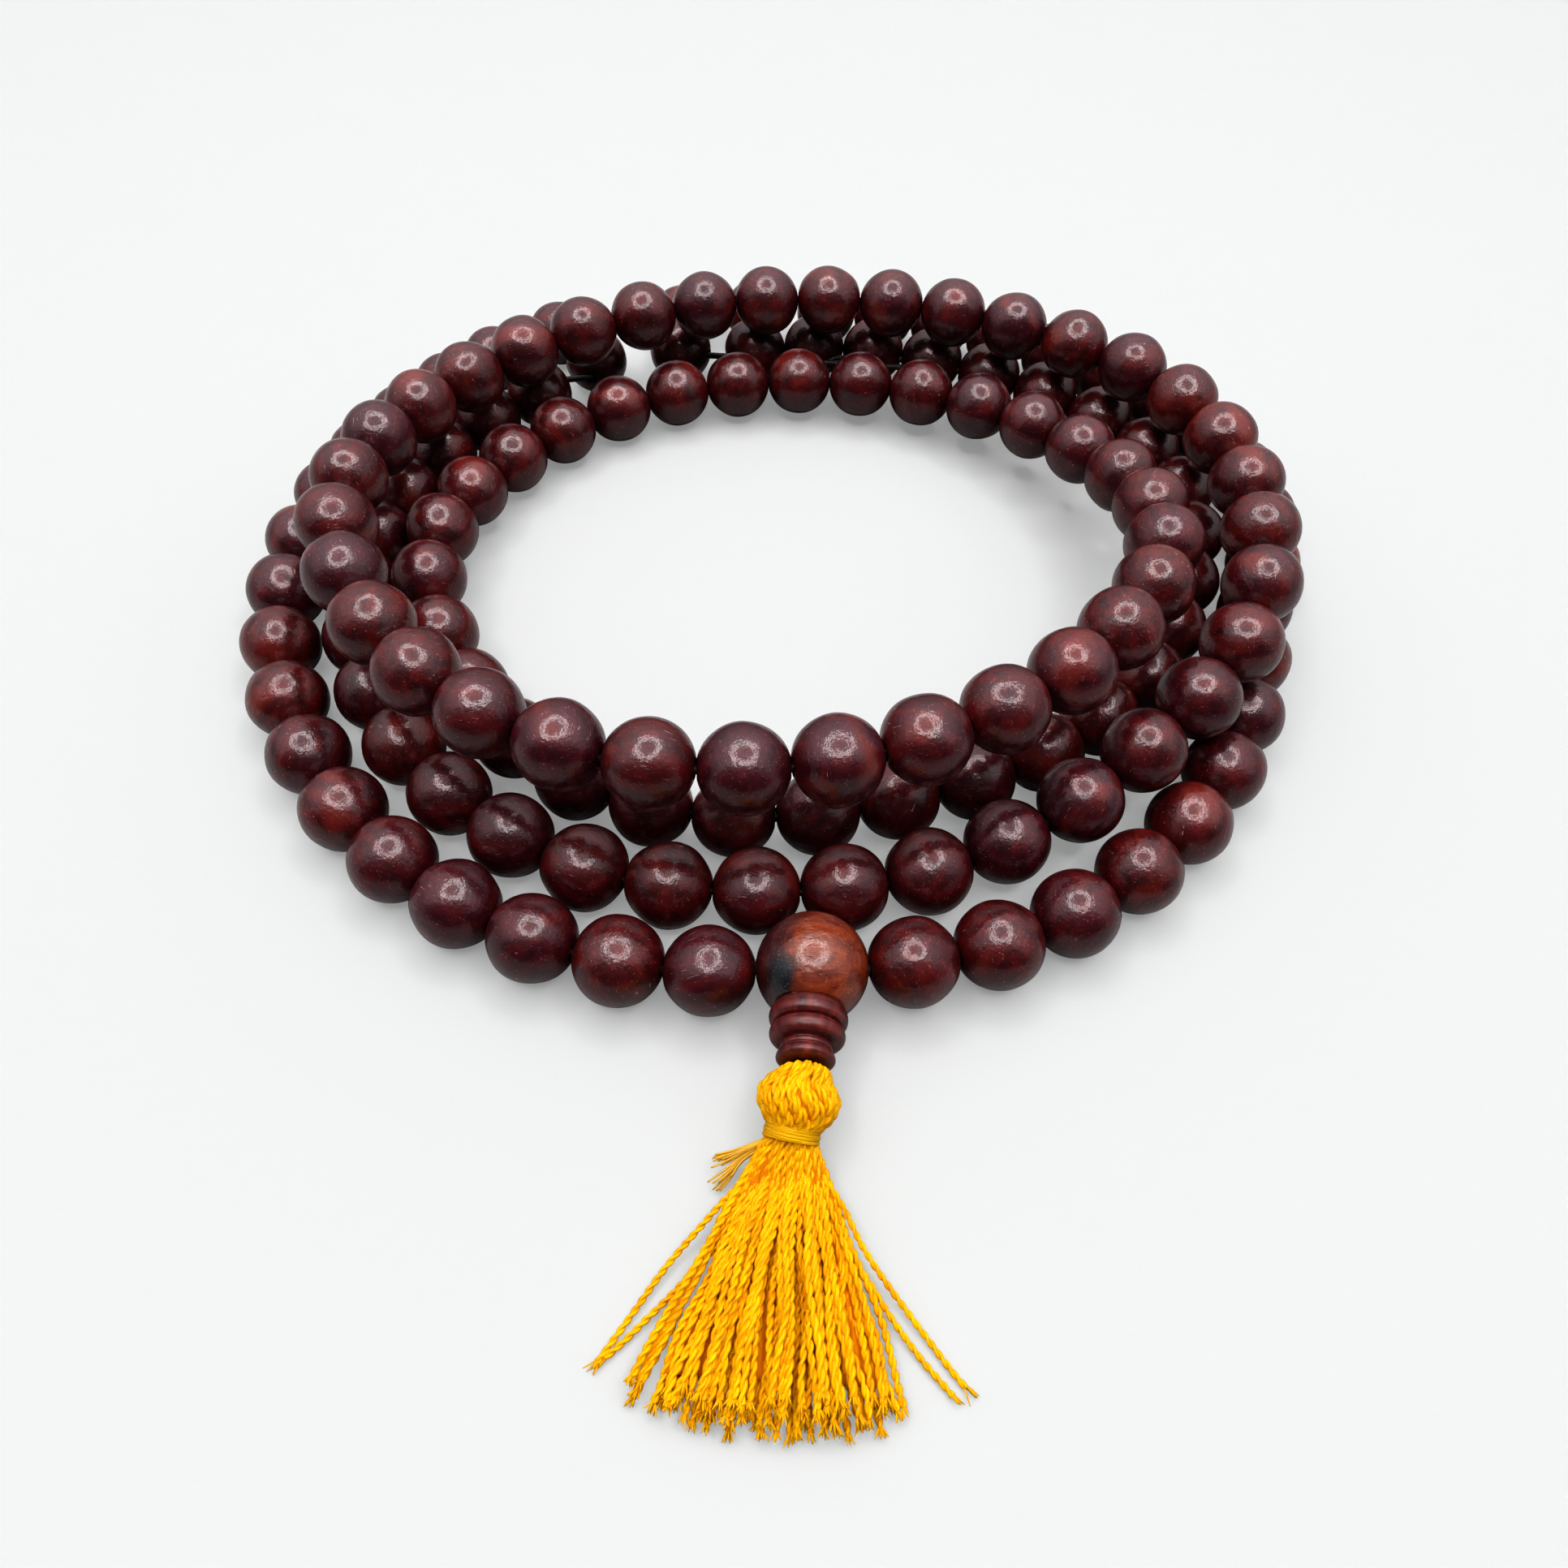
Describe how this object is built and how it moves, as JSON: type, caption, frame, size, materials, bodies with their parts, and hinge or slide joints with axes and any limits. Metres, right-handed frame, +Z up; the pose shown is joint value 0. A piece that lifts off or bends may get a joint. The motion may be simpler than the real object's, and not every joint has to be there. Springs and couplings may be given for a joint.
{
  "type": "prayer beads",
  "caption": "Mala of dark turned wooden beads on one cord, coiled on a surface, closed by a larger guru bead with a turned cap and a yellow thread tassel.",
  "frame": {"origin": "bottom centre of the coiled mala with its tassel, on the surface it lies on", "axes": "+Z up, -Y from the coil towards the tassel, +X to the right when seen from the tassel's side"},
  "size_m": [0.1202, 0.1425, 0.021],
  "materials": {
    "bead_wood": "polished dark wine-red rosewood, clear coat",
    "guru_wood": "polished, orange-brown grain with a dark patch",
    "cap_wood": "satin, turned",
    "cord": "waxed cord, dull sheen",
    "tassel_thread": "silky two-ply thread"
  },
  "bodies": {
    "strand": {"stringing_cord": "cord", "beads_009_to_018": "bead_wood", "beads_019_to_027": "bead_wood", "beads_028_to_036": "bead_wood", "beads_037_to_045": "bead_wood", "beads_046_to_054": "bead_wood", "beads_055_to_064": "bead_wood", "beads_080_to_088": "bead_wood", "beads_089_to_097": "bead_wood", "beads_098_to_105": "bead_wood", "beads_106_to_113": "bead_wood", "beads_114_to_121": "bead_wood", "beads_122_to_129": "bead_wood"},
    "guru": {"guru_bead": "guru_wood", "cord_ends": "cord"},
    "cap": {"guru_cap": "cap_wood"},
    "knot": {"end_knot": "cord"},
    "tassel": {"tassel_head": "tassel_thread", "tassel_binding": "tassel_thread", "tassel_skirt": "tassel_thread", "binding_tail_long": "tassel_thread", "binding_tail_short": "tassel_thread", "stray_thread_left_outer": "tassel_thread", "stray_thread_left_inner": "tassel_thread", "stray_thread_right_outer": "tassel_thread", "stray_thread_right_inner": "tassel_thread"},
    "bead_001": {"bead_001": "bead_wood"},
    "bead_002": {"bead_002": "bead_wood"},
    "bead_003": {"bead_003": "bead_wood"},
    "bead_004": {"bead_004": "bead_wood"},
    "bead_005": {"bead_005": "bead_wood"},
    "bead_006": {"bead_006": "bead_wood"},
    "bead_007": {"bead_007": "bead_wood"},
    "bead_008": {"bead_008": "bead_wood"},
    "bead_065": {"bead_065": "bead_wood"},
    "bead_066": {"bead_066": "bead_wood"},
    "bead_067": {"bead_067": "bead_wood"},
    "bead_068": {"bead_068": "bead_wood"},
    "bead_069": {"bead_069": "bead_wood"},
    "bead_070": {"bead_070": "bead_wood"},
    "bead_071": {"bead_071": "bead_wood"},
    "bead_072": {"bead_072": "bead_wood"},
    "bead_073": {"bead_073": "bead_wood"},
    "bead_074": {"bead_074": "bead_wood"},
    "bead_075": {"bead_075": "bead_wood"},
    "bead_076": {"bead_076": "bead_wood"},
    "bead_077": {"bead_077": "bead_wood"},
    "bead_078": {"bead_078": "bead_wood"},
    "bead_079": {"bead_079": "bead_wood"},
    "bead_130": {"bead_130": "bead_wood"},
    "bead_131": {"bead_131": "bead_wood"},
    "bead_132": {"bead_132": "bead_wood"},
    "bead_133": {"bead_133": "bead_wood"},
    "bead_134": {"bead_134": "bead_wood"},
    "bead_135": {"bead_135": "bead_wood"},
    "bead_136": {"bead_136": "bead_wood"},
    "bead_137": {"bead_137": "bead_wood"}
  },
  "joints": [
    {"name": "guru_swing", "type": "hinge", "parent": "strand", "child": "guru", "pos_m": [0.00314, -0.03576, 0.0049], "axis": [-0.9986, 0.0523, 0], "range_deg": [0, 95]},
    {"name": "cap_spin", "type": "hinge", "parent": "guru", "child": "cap", "pos_m": [0.00283, -0.04174, 0.00521], "axis": [-0.0523, -0.9973, 0.0523], "continuous": true},
    {"name": "tassel_lift", "type": "hinge", "parent": "guru", "child": "knot", "pos_m": [0.00264, -0.04526, 0.0054], "axis": [-0.9816, 0.1908, 0], "range_deg": [0, 45]},
    {"name": "tassel_swing", "type": "hinge", "parent": "knot", "child": "tassel", "pos_m": [0.00264, -0.04526, 0.0054], "axis": [0, 0, 1], "range_deg": [-15, 15]},
    {"name": "bead_001_spin", "type": "hinge", "parent": "strand", "child": "bead_001", "pos_m": [0.01206, -0.03464, 0.00453], "axis": [0.9794, 0.1965, -0.0466], "continuous": true},
    {"name": "bead_002_spin", "type": "hinge", "parent": "strand", "child": "bead_002", "pos_m": [0.01984, -0.03241, 0.00411], "axis": [0.9321, 0.3606, -0.033], "continuous": true},
    {"name": "bead_003_spin", "type": "hinge", "parent": "strand", "child": "bead_003", "pos_m": [0.0271, -0.02883, 0.004], "axis": [0.8568, 0.5156, -0.0066], "continuous": true},
    {"name": "bead_004_spin", "type": "hinge", "parent": "strand", "child": "bead_004", "pos_m": [0.03367, -0.02408, 0.004], "axis": [0.7603, 0.6496, 0], "continuous": true},
    {"name": "bead_005_spin", "type": "hinge", "parent": "strand", "child": "bead_005", "pos_m": [0.03938, -0.01834, 0.004], "axis": [0.6438, 0.7652, 0], "continuous": true},
    {"name": "bead_006_spin", "type": "hinge", "parent": "strand", "child": "bead_006", "pos_m": [0.04406, -0.01173, 0.004], "axis": [0.5046, 0.8634, 0], "continuous": true},
    {"name": "bead_007_spin", "type": "hinge", "parent": "strand", "child": "bead_007", "pos_m": [0.04752, -0.00441, 0.004], "axis": [0.3719, 0.9283, 0], "continuous": true},
    {"name": "bead_008_spin", "type": "hinge", "parent": "strand", "child": "bead_008", "pos_m": [0.05008, 0.00328, 0.004], "axis": [0.28, 0.96, 0], "continuous": true},
    {"name": "bead_065_spin", "type": "hinge", "parent": "strand", "child": "bead_065", "pos_m": [0.03583, 0.00177, 0.01588], "axis": [-0.4363, -0.8922, 0.1169], "continuous": true},
    {"name": "bead_066_spin", "type": "hinge", "parent": "strand", "child": "bead_066", "pos_m": [0.03147, -0.00502, 0.01663], "axis": [-0.608, -0.7907, 0.0713], "continuous": true},
    {"name": "bead_067_spin", "type": "hinge", "parent": "strand", "child": "bead_067", "pos_m": [0.02602, -0.011, 0.01703], "axis": [-0.7425, -0.6695, 0.0237], "continuous": true},
    {"name": "bead_068_spin", "type": "hinge", "parent": "strand", "child": "bead_068", "pos_m": [0.0195, -0.01581, 0.01702], "axis": [-0.8477, -0.5304, -0.0009], "continuous": true},
    {"name": "bead_069_spin", "type": "hinge", "parent": "strand", "child": "bead_069", "pos_m": [0.01233, -0.01956, 0.01701], "axis": [-0.9187, -0.395, -0.0005], "continuous": true},
    {"name": "bead_070_spin", "type": "hinge", "parent": "strand", "child": "bead_070", "pos_m": [0.00466, -0.02219, 0.01701], "axis": [-0.9707, -0.2403, -0.0006], "continuous": true},
    {"name": "bead_071_spin", "type": "hinge", "parent": "strand", "child": "bead_071", "pos_m": [-0.00334, -0.02344, 0.017], "axis": [-0.9976, -0.0698, 0.0016], "continuous": true},
    {"name": "bead_072_spin", "type": "hinge", "parent": "strand", "child": "bead_072", "pos_m": [-0.01144, -0.02332, 0.01703], "axis": [-0.9936, 0.1128, 0.0004], "continuous": true},
    {"name": "bead_073_spin", "type": "hinge", "parent": "strand", "child": "bead_073", "pos_m": [-0.01936, -0.02162, 0.01701], "axis": [-0.9504, 0.311, -0.0092], "continuous": true},
    {"name": "bead_074_spin", "type": "hinge", "parent": "strand", "child": "bead_074", "pos_m": [-0.02675, -0.01831, 0.01688], "axis": [-0.8676, 0.4969, -0.0199], "continuous": true},
    {"name": "bead_075_spin", "type": "hinge", "parent": "strand", "child": "bead_075", "pos_m": [-0.03334, -0.01361, 0.01669], "axis": [-0.7517, 0.6589, -0.0288], "continuous": true},
    {"name": "bead_076_spin", "type": "hinge", "parent": "strand", "child": "bead_076", "pos_m": [-0.03886, -0.00769, 0.01642], "axis": [-0.6147, 0.7881, -0.0337], "continuous": true},
    {"name": "bead_077_spin", "type": "hinge", "parent": "strand", "child": "bead_077", "pos_m": [-0.04326, -0.00089, 0.01614], "axis": [-0.4534, 0.8903, -0.0418], "continuous": true},
    {"name": "bead_078_spin", "type": "hinge", "parent": "strand", "child": "bead_078", "pos_m": [-0.04617, 0.00666, 0.01575], "axis": [-0.2398, 0.9684, -0.0678], "continuous": true},
    {"name": "bead_079_spin", "type": "hinge", "parent": "strand", "child": "bead_079", "pos_m": [-0.04712, 0.01467, 0.01505], "axis": [0.0029, 0.9937, -0.112], "continuous": true},
    {"name": "bead_130_spin", "type": "hinge", "parent": "strand", "child": "bead_130", "pos_m": [-0.05109, -0.00694, 0.004], "axis": [0.4317, -0.902, 0], "continuous": true},
    {"name": "bead_131_spin", "type": "hinge", "parent": "strand", "child": "bead_131", "pos_m": [-0.04704, -0.01395, 0.004], "axis": [0.5641, -0.8257, 0], "continuous": true},
    {"name": "bead_132_spin", "type": "hinge", "parent": "strand", "child": "bead_132", "pos_m": [-0.04198, -0.02028, 0.004], "axis": [0.685, -0.7286, 0], "continuous": true},
    {"name": "bead_133_spin", "type": "hinge", "parent": "strand", "child": "bead_133", "pos_m": [-0.03598, -0.02572, 0.004], "axis": [0.7921, -0.6104, 0], "continuous": true},
    {"name": "bead_134_spin", "type": "hinge", "parent": "strand", "child": "bead_134", "pos_m": [-0.02919, -0.03013, 0.004], "axis": [0.8805, -0.4741, 0], "continuous": true},
    {"name": "bead_135_spin", "type": "hinge", "parent": "strand", "child": "bead_135", "pos_m": [-0.02176, -0.03337, 0.004], "axis": [0.9474, -0.32, 0], "continuous": true},
    {"name": "bead_136_spin", "type": "hinge", "parent": "strand", "child": "bead_136", "pos_m": [-0.01389, -0.0353, 0.004], "axis": [0.9861, -0.1652, 0.016], "continuous": true},
    {"name": "bead_137_spin", "type": "hinge", "parent": "strand", "child": "bead_137", "pos_m": [-0.00583, -0.03604, 0.00426], "axis": [0.9982, -0.0268, 0.0527], "continuous": true}
  ]
}
